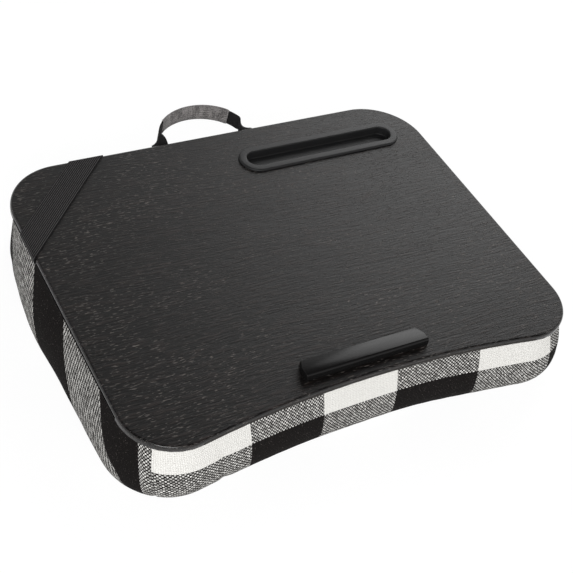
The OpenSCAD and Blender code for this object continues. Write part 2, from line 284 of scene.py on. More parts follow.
BOARD_SPACING, ROUND_STEPS = 2.5 * MM, 8
HEM_IN, HEM_TIP, HEM_OUT, TOP_MARGIN = 0.3 * MM, 0.1 * MM, 0.4 * MM, 0.8 * MM
board_points, board_normals = outline(BOARD_SPACING)
bends = [math.radians(90 * k / ROUND_STEPS) for k in range(ROUND_STEPS + 1)]
quarter = [(1 - math.cos(a), 1 - math.sin(a)) for a in bends]
facing_profile = [(LIP, FACING_Z), (LIP, CORE_Z + HEM_IN), (LIP / 2, CORE_Z + HEM_TIP), (0, CORE_Z + HEM_OUT)]
facing_profile += [(EDGE_ROUND * c, TOP_Z - EDGE_ROUND * s) for c, s in quarter]
facing_profile += [(EDGE_ROUND + TOP_MARGIN, TOP_Z)]
facing_rings = [level(board_points, board_normals, inset, z) for inset, z in facing_profile]
facing = pierced_plate("worktop_facing", facing_rings, FACING_Z, TOP_Z, laminate)
soften(facing)
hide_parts("woodgrain_facing")
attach(facing, "desk")


# The core: a fibreboard panel, stained black, so that no brown edge shows between the facing
# and the cushion. It keeps its CAD shape.
FIBRE_DARK, FIBRE_PALE = (0.008, 0.0065, 0.0055), (0.022, 0.018, 0.015)
fibreboard = Finish("fibreboard", Roughness=0.85)
fibres = fibreboard.noise(fibreboard.place(), 1400, 3, 0.6, stretch=(0.3, 1, 1))
fibreboard.set("Base Color", fibreboard.mix(fibres, FIBRE_DARK, FIBRE_PALE))
fibreboard.set("Normal", fibreboard.bump(fibres, 0.1 * MM))


def dress(node, finish):
    """Gives a CAD node that keeps its shape its finish."""
    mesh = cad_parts[node].data
    mesh.materials.clear()
    mesh.materials.append(finish.material)


dress("board_core", fibreboard)


# The slot: a moulded insert with a low rounded rim, pressed into the worktop. Its well is
# shallow and closed by a floor.
SLOT_DARK, SLOT_PALE = (0.011, 0.011, 0.0115), (0.016, 0.016, 0.0165)
slot_plastic = Finish("slot_plastic", Specular_IOR_Level=0.25)
spot = slot_plastic.place()
pebble = slot_plastic.noise(spot, 2600, 2)
slot_plastic.set("Base Color", slot_plastic.mix(slot_plastic.noise(spot, 90, 2), SLOT_DARK, SLOT_PALE))
slot_plastic.set("Roughness", 0.36 + pebble * 0.16)
slot_plastic.set("Normal", slot_plastic.bump(pebble, 0.05 * MM, 0.6))

RIM_ROUND, MOUTH_ROUND, FLOOR_ROUND = 1.9 * MM, 1.3 * MM, 1 * MM
RIM_BED, RIM_TUCK, RIM_FOOT = 0.1 * MM, 0.4 * MM, 0.2 * MM
rim_top = TOP_Z + RIM_H
floor_top = WELL_Z + WELL_FLOOR
insert_profile = [(WELL_WALL, WELL_Z), (WELL_WALL, TOP_Z - RIM_BED), (RIM_W - RIM_TUCK, TOP_Z - RIM_BED),
                  (RIM_W, TOP_Z + RIM_FOOT)]
insert_profile += [(RIM_W - RIM_ROUND * c, rim_top - RIM_ROUND * s) for c, s in quarter]
insert_profile += [(MOUTH_ROUND * s, rim_top - MOUTH_ROUND * c) for c, s in quarter]
insert_profile += [(-FLOOR_ROUND * c, floor_top + FLOOR_ROUND * s) for c, s in quarter]


def loft(name, rings, finish):
    """A closed piece through rings that run anticlockwise, the first one lowest."""
    count = len(rings[0])
    faces = ring_faces(count, len(rings))
    faces.append(tuple(range(count - 1, -1, -1)))
    faces.append(tuple(range((len(rings) - 1) * count, len(rings) * count)))
    return add_piece(name, np.concatenate(rings), faces, finish)


insert = loft("slot_insert", [slot_ring(g, z) for g, z in insert_profile], slot_plastic)
soften(insert)
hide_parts("phone_slot_insert")
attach(insert, "desk")


# The device ledge: a glossy moulded bar that keeps what stands on the worktop from sliding,
# screwed on from under the board. Its edges are eased, and its front top edge catches the light.
LEDGE_DARK, LEDGE_PALE = (0.005, 0.005, 0.005), (0.009, 0.0085, 0.0085)
gloss_plastic = Finish("ledge_plastic", Specular_IOR_Level=0.14)
spot = gloss_plastic.place()
rubs = gloss_plastic.noise(spot, 700, 2, stretch=(0.08, 1, 1))
gloss_plastic.set("Base Color", gloss_plastic.mix(gloss_plastic.noise(spot, 40, 2), LEDGE_DARK, LEDGE_PALE))
gloss_plastic.set("Roughness", 0.13 + rubs * 0.14)
gloss_plastic.set("Normal", gloss_plastic.bump(rubs, 0.04 * MM, 0.3))

EASE, EASE_ABOVE, SHARP = 0.55 * MM, TOP_Z + 1 * MM, math.radians(30)
ledge_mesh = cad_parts["device_ledge"].data.copy()
ledge_mesh.materials.clear()
ledge_mesh.materials.append(gloss_plastic.material)
work = bmesh.new()
work.from_mesh(ledge_mesh)
bmesh.ops.remove_doubles(work, verts=work.verts, dist=0.01 * MM)
bmesh.ops.dissolve_limit(work, angle_limit=math.radians(1), verts=work.verts, edges=work.edges)
corners = [e for e in work.edges if len(e.link_faces) == 2 and e.calc_face_angle(0) > SHARP
           and min(v.co.z for v in e.verts) > EASE_ABOVE]
bmesh.ops.bevel(work, geom=corners, offset=EASE, segments=4, affect="EDGES", profile=0.5, clamp_overlap=True)
work.to_mesh(ledge_mesh)
work.free()
ledge = bpy.data.objects.new("ledge_bar", ledge_mesh)
bpy.context.collection.objects.link(ledge)
soften(ledge, 28)
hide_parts("device_ledge")
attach(ledge, "desk")


# The screws and staples: plated steel, all driven up into the board from below. They hold the
# ledge, the strap, the handle and the cushion's cover, and keep their CAD shapes.
ZINC_DARK, ZINC_PALE = (0.42, 0.43, 0.44), (0.62, 0.62, 0.6)
steel = Finish("zinc_steel", Metallic=1.0)
plating = steel.noise(steel.place(), 800, 3)
steel.set("Base Color", steel.mix(plating, ZINC_DARK, ZINC_PALE))
steel.set("Roughness", 0.28 + plating * 0.2)
for node in ("ledge_screws", "strap_staples", "handle_staples", "cover_staples"):
    dress(node, steel)


# The elastic strap: black knitted elastic with lengthwise ribs, stretched across the rear
# left corner. Both ends fold round the board's edge and are stapled under it.
STRAP_W, STRAP_T = 26 * MM, 1.3 * MM
STRAP_LEFT, STRAP_REAR, STRAP_TAB = 101 * MM, 96 * MM, 20 * MM
TAB_Z, FOLD_R = CORE_Z + 0.75 * MM, 0.65 * MM
RIBS, RIB_SAMPLES, RIB_H, KNIT_ROW = 11, 8, 0.22 * MM, 1.1 * MM

ELASTIC_DARK, ELASTIC_GLINT = (0.004, 0.0035, 0.004), (0.17, 0.16, 0.16)
elastic = Finish("ribbed_elastic", Specular_IOR_Level=0.15)
across, along = elastic.cloth_place()
rib_phase = across * (RIBS / STRAP_W)
row_phase = along / KNIT_ROW + rib_phase.math("FLOOR") * 0.5
knit = (row_phase * (2 * math.pi)).math("SINE") * 0.5 + 0.5
cord_mask = (rib_phase * math.pi).math("SINE").math("ABSOLUTE")
# Painted highlight: the rib crests get light dashes in the base colour, one per knit row.
glint = elastic.step(cord_mask, 0.72, 1.0) * knit
fuzz = elastic.noise(elastic.place(), 1500, 2)
elastic.set("Base Color", elastic.mix(glint * (0.4 + fuzz * 0.9), ELASTIC_DARK, ELASTIC_GLINT))
elastic.set("Roughness", 0.6 + fuzz * 0.25)
elastic.set("Normal", elastic.bump(knit * cord_mask + cord_mask * 0.6, 0.3 * MM, 0.9))

# One end's middle layer, from its tab under the board to the top: how far in from the edge, how
# high, and which way that stretch leans as it crosses the corner.
strap_slope = math.atan2(STRAP_LEFT, STRAP_REAR)
strap_y, strap_x = REAR_Y - STRAP_LEFT, LEFT_X + STRAP_REAR
wrap_r = EDGE_ROUND + STRAP_T / 2
upright = np.linspace(TAB_Z + FOLD_R + 0.4 * MM, TOP_Z - EDGE_ROUND - 0.3 * MM, 4)
wrap = [(d, TAB_Z, -1) for d in np.linspace(STRAP_TAB, 1 * MM, 12)]
wrap += [(-STRAP_T / 2 * math.sin(a), TAB_Z + FOLD_R * (1 - math.cos(a)), 0) for a in bends]
wrap += [(-STRAP_T / 2, z, 0) for z in upright]
wrap += [(EDGE_ROUND - wrap_r * math.cos(a), TOP_Z - EDGE_ROUND + wrap_r * math.sin(a), 1) for a in bends]
offsets = np.linspace(-STRAP_W / 2, STRAP_W / 2, RIBS * RIB_SAMPLES + 1)
TOP_SAMPLES = 60


def strap_line(offset):
    """The strap's middle layer along one lengthwise line, from the left end to the rear end."""
    left_y = strap_y + offset / math.cos(strap_slope)
    rear_x = strap_x - offset / math.sin(strap_slope)
    left = [(LEFT_X + d, left_y + side * max(d, 0) * math.tan(strap_slope), z) for d, z, side in wrap]
    rear = [(rear_x - side * max(d, 0) / math.tan(strap_slope), REAR_Y - d, z)
            for d, z, side in reversed(wrap)]
    start, reach = np.array(left[-1]), np.array(rear[0]) - left[-1]
    middle = [start + reach * k / TOP_SAMPLES for k in range(1, TOP_SAMPLES)]
    return np.array(left + middle + rear)


def slab(name, grid, upper, lower, finish):
    """A closed sheet round a grid of points, with UVs in metres along its rows and columns."""
    rows, columns = grid.shape[:2]
    along, across = np.gradient(grid, axis=0), np.gradient(grid, axis=1)
    normal = np.cross(along, across)
    normal /= np.linalg.norm(normal, axis=2, keepdims=True)
    top = grid + normal * np.broadcast_to(upper, (rows, columns))[..., None]
    bottom = grid - normal * lower
    half = rows * columns
    at = np.arange(half).reshape(rows, columns)
    quads = []
    for k in range(rows - 1):
        for i in range(columns - 1):
            a, b, c, d = at[k, i], at[k + 1, i], at[k + 1, i + 1], at[k, i + 1]
            quads.append((a, b, c, d))
            quads.append((half + a, half + d, half + c, half + b))
    rim = [*at[0, :], *at[1:, -1], *at[-1, -2::-1], *at[-2:0:-1, 0]]
    for a, b in zip(rim, rim[1:] + rim[:1]):
        quads.append((a, b, half + b, half + a))
    length = np.concatenate([[0], np.cumsum(np.linalg.norm(np.diff(grid, axis=0), axis=2).mean(1))])
    width = np.concatenate([[0], np.cumsum(np.linalg.norm(np.diff(grid, axis=1), axis=2).mean(0))])
    uv = [(width[(v % half) % columns], length[(v % half) // columns]) for q in quads for v in q]
    return add_piece(name, np.concatenate([top.reshape(-1, 3), bottom.reshape(-1, 3)]), quads, finish, uv)


strap_grid = np.stack([strap_line(o) for o in offsets[::-1]], axis=1)
rib_phases = np.linspace(0, RIBS, len(offsets)) * math.pi
ribs = STRAP_T / 2 - RIB_H * (1 - np.abs(np.sin(rib_phases)))
strap = slab("corner_elastic", strap_grid, ribs, STRAP_T / 2, elastic)
soften(strap, 60)
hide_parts("elastic_strap")
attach(strap, "desk")


# The carry handle: a loop of black webbing, flat where it leaves the board and on edge round
# the arch, with a soft sleeve of grey marled cloth over its middle. Its ends run on under the
# board, where they are stapled, and keep their CAD shapes.
LOOP_A, LOOP_B, LOOP_X, LOOP_LEAN = 50 * MM, 41 * MM, -5 * MM, math.radians(5)
WEB_W, WEB_T, SLEEVE_W, SLEEVE_T = 17 * MM, 1.6 * MM, 20 * MM, 3.6 * MM
PIVOT_Y, WEB_Z, TWIST = REAR_Y + 1.5 * MM, CORE_Z + 0.9 * MM, 15 * MM
LOOP_STEPS, SLEEVE_FROM, SLEEVE_TO = 144, 33, 114
TWILL, CROSS_RIB, YARN = 1.6 * MM, 0.9 * MM, 0.9 * MM

WEB_DARK, WEB_PALE = (0.006, 0.0055, 0.006), (0.034, 0.032, 0.032)
webbing = Finish("black_webbing", Roughness=0.8, Specular_IOR_Level=0.15)
across, along = webbing.cloth_place()
twill = ((across + along) * (2 * math.pi / TWILL)).math("SINE") * 0.5 + 0.5
cross_rib = (along * (2 * math.pi / CROSS_RIB)).math("SINE") * 0.5 + 0.5
fuzz = webbing.noise(webbing.place(), 1700, 2)
# Painted highlight: the twill's ridges are lighter in the base colour, broken up by noise.
webbing.set("Base Color", webbing.mix(twill * fuzz, WEB_DARK, WEB_PALE))
webbing.set("Normal", webbing.bump(twill * 0.7 + cross_rib * 0.3 + fuzz * 0.3, 0.3 * MM))

MARL_DARK, MARL_PALE = (0.05, 0.045, 0.044), (0.5, 0.47, 0.46)
marl = Finish("marled_cloth", Roughness=0.9, Sheen_Weight=0.25)
across, along = marl.cloth_place()
spot = marl.place()
yarn_a = (across * (2 * math.pi / YARN)).math("SINE") * 0.5 + 0.5
yarn_b = (along * (2 * math.pi / YARN)).math("SINE") * 0.5 + 0.5
fleck = marl.noise(spot, 620, 3, 0.65)
blotch = marl.noise(spot, 130, 2, 0.6, stretch=(1, 1, 0.4))
tone = marl.step(fleck * 0.65 + blotch * 0.45, 0.38, 0.72)
# Painted shade: the colour darkens between the yarns and is lightest where their crowns cross.
marl.set("Base Color", marl.mix(tone * (0.45 + yarn_a * yarn_b * 0.8), MARL_DARK, MARL_PALE))
marl.set("Normal", marl.bump(yarn_a * yarn_b + fleck * 0.5, 0.3 * MM))


def loop_frames():
    """Along the loop from its left end: centres, and which way the webbing is wide and thick."""
    turn_by = np.radians(180 - 180 * np.arange(LOOP_STEPS + 1) / LOOP_STEPS)
    flat = np.stack([LOOP_A * np.cos(turn_by), LOOP_B * np.sin(turn_by)], 1)
    heading = np.stack([LOOP_A * np.sin(turn_by), -LOOP_B * np.cos(turn_by)], 1)
    heading /= np.linalg.norm(heading, axis=1, keepdims=True)
    eased = np.clip(flat[:, 1] / TWIST, 0, 1)
    twist = np.radians(90) * (1 - eased ** 2 * (3 - 2 * eased))
    along_y = np.array([0, math.cos(LOOP_LEAN), math.sin(LOOP_LEAN)])
    up = np.array([0, -math.sin(LOOP_LEAN), math.cos(LOOP_LEAN)])
    right = np.array([1.0, 0, 0])
    centre = np.array([LOOP_X, PIVOT_Y, WEB_Z]) + flat[:, :1] * right + flat[:, 1:] * along_y
    side = heading[:, 1:] * right - heading[:, :1] * along_y
    wide = np.cos(twist)[:, None] * up + np.sin(twist)[:, None] * side
    thick = np.cos(twist)[:, None] * side - np.sin(twist)[:, None] * up
    return centre, wide, thick


centre, wide, thick = loop_frames()
web_grid = centre[:, None] + wide[:, None] * np.linspace(-WEB_W / 2, WEB_W / 2, 13)[None, :, None]
web = slab("handle_web", web_grid, WEB_T / 2, WEB_T / 2, webbing)
soften(web, 50)
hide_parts("handle_webbing")
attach(web, "handle")
for node in ("handle_tab_left", "handle_tab_right"):
    dress(node, webbing)

# The sleeve is squarer across its width than through its thickness, and flattens at its ends.
SLEEVE_SIDES, SQUARE_W, SQUARE_T = 40, 0.55, 0.8
END_STEPS, END_THICK, END_WIDE, RIPPLE = 3, 0.78, 0.96, 0.02
angles = 2 * math.pi * np.arange(SLEEVE_SIDES) / SLEEVE_SIDES
pillow_w = np.sign(np.cos(angles)) * np.abs(np.cos(angles)) ** SQUARE_W * SLEEVE_W / 2
pillow_t = np.sign(np.sin(angles)) * np.abs(np.sin(angles)) ** SQUARE_T * SLEEVE_T / 2
rings = []
for k in range(SLEEVE_FROM, SLEEVE_TO + 1):
    end = min(1, (k - SLEEVE_FROM) / END_STEPS, (SLEEVE_TO - k) / END_STEPS)
    plump = END_THICK + (1 - END_THICK) * end + RIPPLE * math.sin(k * 0.9)
    spread = END_WIDE + (1 - END_WIDE) * end
    rings.append(centre[k] + wide[k] * pillow_w[:, None] * spread + thick[k] * pillow_t[:, None] * plump)
count = SLEEVE_SIDES
faces = ring_faces(count, len(rings))
faces += [tuple(range(count - 1, -1, -1)), tuple(range((len(rings) - 1) * count, len(rings) * count))]
side_l, step_l = 2 * (SLEEVE_W + SLEEVE_T) / count, math.pi * LOOP_A / LOOP_STEPS
uv = [((i + a) * side_l, (k + b) * step_l) for k in range(len(rings) - 1) for i in range(count)
      for a, b in ((0, 0), (1, 0), (1, 1), (0, 1))]
uv += [(0, 0)] * (2 * count)
sleeve = add_piece("handle_cloth_sleeve", np.concatenate(rings), faces, marl, uv)
work = bmesh.new()
work.from_mesh(sleeve.data)
bmesh.ops.recalc_face_normals(work, faces=work.faces)
work.to_mesh(sleeve.data)
work.free()
soften(sleeve, 60)
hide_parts("handle_sleeve")
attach(sleeve, "handle")


# The sleeve's ends are sewn through the webbing, with a row of short stitches on each face.
# Each stitch is a small bead of black thread.
def stitch_tree():
    """Lays stitches along a path at an even spacing."""
    tree = bpy.data.node_groups.new("stitch_row", "GeometryNodeTree")
    for label, kind in (("Geometry", "Geometry"), ("Spacing", "Float"), ("Length", "Float"),
                        ("Thickness", "Float"), ("Finish", "Material")):
        tree.interface.new_socket(label, in_out="INPUT", socket_type="NodeSocket" + kind)
    tree.interface.new_socket("Geometry", in_out="OUTPUT", socket_type="NodeSocketGeometry")
    row = Graph(tree)
    path = row.node("NodeGroupInput")
    curve = row.node("GeometryNodeMeshToCurve", None, {"Mesh": path})
    places = row.node("GeometryNodeResampleCurve", {"mode": "LENGTH"}, {
        "Curve": curve, "Length": path.other("Spacing")})
    heading = row.node("FunctionNodeAlignRotationToVector", {"axis": "Z"}, {
        "Vector": row.node("GeometryNodeInputTangent")})
    thread = row.node("GeometryNodeMeshUVSphere", None, {"Segments": 6, "Rings": 5, "Radius": 0.5})
    size = row.node("ShaderNodeCombineXYZ", None, {
        "X": path.other("Thickness"), "Y": path.other("Thickness"), "Z": path.other("Length")})
    stitches = row.node("GeometryNodeInstanceOnPoints", None, {
        "Points": places, "Instance": thread, "Rotation": heading, "Scale": size})
    real = row.node("GeometryNodeRealizeInstances", None, {"Geometry": stitches})
    finished = row.node("GeometryNodeSetMaterial", None, {
        "Geometry": real, "Material": path.other("Finish")})
    row.node("NodeGroupOutput", None, {"Geometry": finished})
    return tree


THREAD_DARK, THREAD_PALE = (0.008, 0.008, 0.008), (0.03, 0.028, 0.027)
thread_finish = Finish("black_thread", Roughness=0.6)
strands = thread_finish.noise(thread_finish.place(), 2500, 2)
thread_finish.set("Base Color", thread_finish.mix(strands, THREAD_DARK, THREAD_PALE))
row_tree = stitch_tree()


def stitch_row(name, paths, spacing, length, thickness, body):
    mesh = bpy.data.meshes.new(name)
    rows = [np.asarray(p) for p in paths]
    starts = np.cumsum([0] + [len(r) for r in rows])
    edges = [(int(s) + i, int(s) + i + 1) for s, r in zip(starts, rows) for i in range(len(r) - 1)]
    mesh.from_pydata([tuple(p) for r in rows for p in r], edges, [])
    holder = bpy.data.objects.new(name + "_path", mesh)
    bpy.context.collection.objects.link(holder)
    modifier = holder.modifiers.new("stitches", "NODES")
    modifier.node_group = row_tree
    values = {"Spacing": spacing, "Length": length, "Thickness": thickness, "Finish": thread_finish.material}
    for item in row_tree.interface.items_tree:
        if item.in_out == "INPUT" and item.name in values:
            modifier[item.identifier] = values[item.name]
    graph = bpy.context.evaluated_depsgraph_get()
    made = bpy.data.meshes.new_from_object(holder.evaluated_get(graph))
    bpy.data.objects.remove(holder)
    row = bpy.data.objects.new(name, made)
    bpy.context.collection.objects.link(row)
    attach(row, body)
    return row


STITCH_IN, STITCH_SPAN, STITCH_LIFT = 2, 0.84, 0.46
STITCH_PITCH, STITCH_L, STITCH_T = 2.2 * MM, 1.7 * MM, 0.45 * MM
sleeve_rows = []
for k in (SLEEVE_FROM + STITCH_IN, SLEEVE_TO - STITCH_IN):
    for face_side in (-1, 1):
        run = np.linspace(-STITCH_SPAN / 2, STITCH_SPAN / 2, 9)[:, None] * SLEEVE_W
        sleeve_rows.append(centre[k] + wide[k] * run + thick[k] * face_side * SLEEVE_T * STITCH_LIFT)
stitch_row("sleeve_stitches", sleeve_rows, STITCH_PITCH, STITCH_L, STITCH_T, "handle")


# The cushion: a cover of coarse cloth in large black, grey and off-white checks, sewn from
# four side panels and a bottom panel, and filled with two bags of beads. Its sides bulge
# past the board and roll under to a flat rest.
CHECK, THREAD = 83 * MM, 1.7 * MM
COVER_INSET, BULGE, ROLL_H, ROLL_D = 4 * MM, 9 * MM, 26 * MM, 30 * MM
CAP_Z, SIDE_TOP_Z = 69.8 * MM, 71.6 * MM

WHITE_DULL, WHITE_BRIGHT, WHITE_HOLLOW_SHADE = (0.78, 0.765, 0.725), (0.95, 0.94, 0.91), (0.6, 0.585, 0.55)
BLACK_DEEP, BLACK_NEP, BLACK_HOLLOW_SHADE = (0.0095, 0.008, 0.0075), (0.16, 0.14, 0.13), (0.003, 0.003, 0.003)
WORN_YARN = (0.1, 0.095, 0.09)
cloth = Finish("checked_cloth", Specular_IOR_Level=0.1)
across, along = cloth.cloth_place()


def odd_cell(value, size):
    """1 where the value falls in an odd cell of the given size, and 0 in an even one."""
    return (value / size).math("FLOOR").math("PINGPONG", 1)


# Warp and weft cross over and under by turns.
dark_warp, dark_weft = odd_cell(across, CHECK), odd_cell(along, CHECK)
spot = cloth.place()
slub = cloth.noise(spot, 420, 3, 0.6)
sway_u, sway_v = cloth.noise(spot, 330, 2) - 0.5, cloth.noise(spot, 290, 2) - 0.5
thread_u, thread_v = across / THREAD + sway_u * 0.9, along / THREAD + sway_v * 0.9
cell_u, cell_v = thread_u.math("FLOOR"), thread_v.math("FLOOR")
crossing = cloth.node("ShaderNodeCombineXYZ", None, {"X": cell_u, "Y": cell_v})
chance = cloth.node("ShaderNodeTexWhiteNoise", {"noise_dimensions": "2D"}, {"Vector": crossing})
over = (cell_u + cell_v).math("PINGPONG", 1)
swell_u = (thread_u.math("FRACT") * math.pi).math("SINE")
swell_v = (thread_v.math("FRACT") * math.pi).math("SINE")
height = over * (swell_u * (0.55 + swell_v * 0.45)) + (1 - over) * (swell_v * (0.55 + swell_u * 0.45))
darkness = over * dark_warp + (1 - over) * dark_weft
nep = cloth.step(cloth.noise(spot, 900, 2, 0.6), 0.64, 0.74)
mixed = (dark_warp - dark_weft).math("ABSOLUTE")
worn = 1 - mixed * (1 - chance) * 0.75
pale_yarn = cloth.mix(worn, WORN_YARN, cloth.mix(slub, WHITE_DULL, WHITE_BRIGHT))
yarn = cloth.mix(darkness, pale_yarn, cloth.mix(nep, BLACK_DEEP, BLACK_NEP))
# Painted shade: the low hollows between the threads take a darker white, or near-black in dark and grey
# checks.
hollow = cloth.mix(dark_warp.math("MAXIMUM", dark_weft), WHITE_HOLLOW_SHADE, BLACK_HOLLOW_SHADE)
cloth.set("Base Color", cloth.mix(cloth.step(height, 0.05, 0.45), hollow, yarn))
cloth.set("Roughness", 0.85 + slub * 0.1)
cloth.set("Normal", cloth.bump(height + slub * 0.4, 0.35 * MM, 0.8))

COVER_SPACING = 2.2 * MM
points, normals = outline(COVER_SPACING)
count = len(points)
spans = np.linalg.norm(np.roll(points, -1, 0) - points, axis=1)
around = np.concatenate([[0], np.cumsum(spans)])
where, total = around[:-1], around[-1]


def nearest(x, y):
    """The distance round the outline of its point nearest to a place."""
    return around[np.argmin(np.hypot(points[:, 0] - x, points[:, 1] - y))]


def on_corner(side_x, side_y, radius, angle):
    """A point on a corner of the board, at an angle from its side edge."""
    a = math.radians(angle)
    return (side_x * (BOARD_W / 2 - radius * (1 - math.cos(a))),
            side_y * (BOARD_D / 2 - radius * (1 - math.sin(a))))


FRONT_SEAM, REAR_SEAM = 47, 45
seam_front_left = nearest(*on_corner(-1, -1, FRONT_R, FRONT_SEAM))
seam_front_right = nearest(*on_corner(1, -1, FRONT_R, FRONT_SEAM))
seam_rear_right = nearest(*on_corner(1, 1, REAR_R, REAR_SEAM))
seam_rear_left = nearest(*on_corner(-1, 1, REAR_R, REAR_SEAM))
seams = (seam_front_left, seam_front_right, seam_rear_left, seam_rear_right)

# From under the board the cover turns out to the board's edge, bulges down the sides, and
# rolls under as a quarter of an ellipse. The bottom panel's seam runs half way round the roll.
SIDE_RINGS, ROLL_RINGS, FLAT_RINGS = 30, 26, 14
profile = [(20 * MM, CAP_Z), (12 * MM, 71.2 * MM), (7 * MM, 71.75 * MM), (5 * MM, 71.8 * MM)]
TURN_IN = len(profile)
for k in range(SIDE_RINGS):
    s = k / SIDE_RINGS
    profile.append((COVER_INSET - (COVER_INSET + BULGE) * math.sin(math.radians(90 * s)),
                    (SIDE_TOP_Z - ROLL_H) * (1 - s) + ROLL_H))
for k in range(ROLL_RINGS + 1):
    a = math.radians(90 * k / ROLL_RINGS)
    profile.append((ROLL_D - BULGE - ROLL_D * math.cos(a), ROLL_H * (1 - math.sin(a))))
profile = np.array(profile)
drop_along = np.concatenate([[0], np.cumsum(np.linalg.norm(np.diff(profile, axis=0), axis=1))])
seam_ring = TURN_IN + SIDE_RINGS + ROLL_RINGS // 2
side_down = drop_along - drop_along[TURN_IN]

# The beads fill the cover unevenly. Each wave has its count round the cover, phase, strength
# and slant, and each pucker of the seams its count, phase and strength.
rng = np.random.default_rng(12)
waves = [(rng.integers(3, 16), rng.uniform(0, 6.28), rng.uniform(0.5, 1.0), rng.uniform(0, 3))
         for _ in range(9)]
puckers = [(rng.integers(40, 95), rng.uniform(0, 6.28), rng.uniform(0.4, 1.0)) for _ in range(8)]
seam_gap = np.min([np.minimum(abs(where - s), total - abs(where - s)) for s in seams], axis=0)

# The rear corners are drawn in, and the left side is fuller than its solid.
LEFT_AT = np.array([-45, 0, 16, 31, 47, 68, 98, 128, 158, 188, 218, 248, 278, 310]) * MM
LEFT_PULL = np.array([0, -8, -11, -10, -7.5, -2, 2.5, 4.5, 5, 4, 3, 0.5, 0, 0]) * MM
CORNER_PULL, CORNER_RUN, BLUR = -7.35 * MM, 60 * MM, 11
left_run = np.interp(where - seam_rear_left, LEFT_AT, LEFT_PULL, left=0, right=0)
right_run = np.interp(where, [seam_rear_right - CORNER_RUN, seam_rear_right, seam_rear_right + CORNER_RUN],
                      [0, CORNER_PULL, 0])
kernel = np.hanning(BLUR)
pull = np.convolve(np.tile(left_run + right_run, 3), kernel / kernel.sum(), "same")[count:2 * count]

FULL_DEPTH, WAVE_H, WAVE_SLANT = 95 * MM, 0.34 * MM, 12
PUCKER_H, PUCKER_FADE, PUCKER_LOW, PUCKER_RINGS = 0.16 * MM, 12 * MM, 0.8, 3
GROOVE_D, GROOVE_W, TUCK_W = 0.9 * MM, 1.6 * MM, 1.5 * MM
CREASE_D, CREASE_W, CREASE_AT, CREASE_SLANT = 1.3 * MM, 5 * MM, 62 * MM, 0.1
SEAM_LEAN, LEAN_RUN = 0.16, 70 * MM
turn = 2 * math.pi * where / total
from_front_left = where - seam_front_left
rings = []
for k, (inset, z) in enumerate(profile):
    depth = max(0, side_down[k])
    full = math.sin(math.pi * min(1, depth / FULL_DEPTH))
    swell = sum(g * np.sin(n * turn + p + depth * WAVE_SLANT * d) for n, p, g, d in waves) * WAVE_H * full
    gather = sum(g * np.sin(n * turn + p) for n, p, g in puckers) * PUCKER_H
    gather *= math.exp(-depth / PUCKER_FADE) + PUCKER_LOW * math.exp(-abs(k - seam_ring) / PUCKER_RINGS)
    groove = -GROOVE_D * np.exp(-(seam_gap / GROOVE_W) ** 2)
    tuck = -GROOVE_D * math.exp(-((side_down[k] - side_down[seam_ring]) / TUCK_W) ** 2)
    crease_gap = from_front_left - CREASE_AT - CREASE_SLANT * depth
    crease = -CREASE_D * full * np.exp(-(crease_gap / CREASE_W) ** 2)
    push = swell + gather + groove + tuck + crease + pull * full if k >= TURN_IN else 0 * where
    tilt = math.radians(90 * max(0, k - TURN_IN - SIDE_RINGS) / ROLL_RINGS)
    leaning = where + SEAM_LEAN * depth * np.exp(-(from_front_left / LEAN_RUN) ** 2)
    base = np.column_stack([np.interp(leaning, where, points[:, a]) for a in (0, 1)])
    outward = np.column_stack([np.interp(leaning, where, normals[:, a]) for a in (0, 1)])
    ring = level(base, outward, inset, z)
    ring[:, :2] += outward * (push * math.cos(tilt))[:, None]
    ring[:, 2] = np.maximum(0, ring[:, 2] - push * math.sin(tilt))
    rings.append(ring)

flat_ring = rings[-1]
for k in range(1, FLAT_RINGS):
    rings.append(flat_ring * (1 - k / FLAT_RINGS))
    rings[-1][:, 2] = 0
vertices = np.concatenate(rings[::-1])
last = len(rings) - 1

# How far from the front left seam the checks end, on the cushion and on the cloth: the cloth
# is eased and stretched to fit. The left panel's checks lean back, most of all at its front.
FRONT_COLUMNS = np.array([0, 95, 172, 251, 341, 424, 507]) * MM
FRONT_CHECKS = np.array([2, 83, 166, 249, 332, 415, 498]) * MM
LEFT_COLUMNS = np.array([0, 15, 84.5, 168.5, 244.5, 330]) * MM
LEFT_CHECKS = np.array([68, 83, 166, 249, 332, 415]) * MM
FRONT_ROW, SIDE_ROW, RIGHT_STRIP, REAR_START = CHECK - 26 * MM, CHECK + 3 * MM, CHECK - 15 * MM, 6 * CHECK
LEAN_BACK, LEAN_FRONT, LEAN_FROM, LEAN_OVER = 0.1, 1.2, 6 * MM, 24 * MM
BOTTOM_X, BOTTOM_Y = 10 * CHECK + CHECK / 3, 10 * CHECK


def cloth_uv(s, k, panel):
    """Where a point of the cover lies on its cut panel, in metres of cloth."""
    down = side_down[min(k, len(side_down) - 1)]
    if panel == "front":
        return np.interp(s - seam_front_left, FRONT_COLUMNS, FRONT_CHECKS), down + FRONT_ROW
    if panel == "left":
        near = min(1, max(0, (seam_front_left - s - LEAN_FROM) / LEAN_OVER))
        drawn = max(0, down) * (LEAN_BACK + LEAN_FRONT * near * near * (3 - 2 * near))
        return np.interp(seam_front_left - s + drawn, LEFT_COLUMNS, LEFT_CHECKS), down + SIDE_ROW
    if panel == "right":
        start = s if s > seam_front_right - 1 * MM else s + total
        return start - seam_front_right + RIGHT_STRIP, down + SIDE_ROW
    return s - seam_rear_left + REAR_START, down + FRONT_ROW


def bottom_uv(v):
    return vertices[v][0] + BOTTOM_X, vertices[v][1] + BOTTOM_Y


def panel_at(s):
    if seam_rear_right <= s < seam_rear_left:
        return "rear"
    if seam_rear_left <= s < seam_front_left:
        return "left"
    if seam_front_left <= s < seam_front_right:
        return "front"
    return "right"


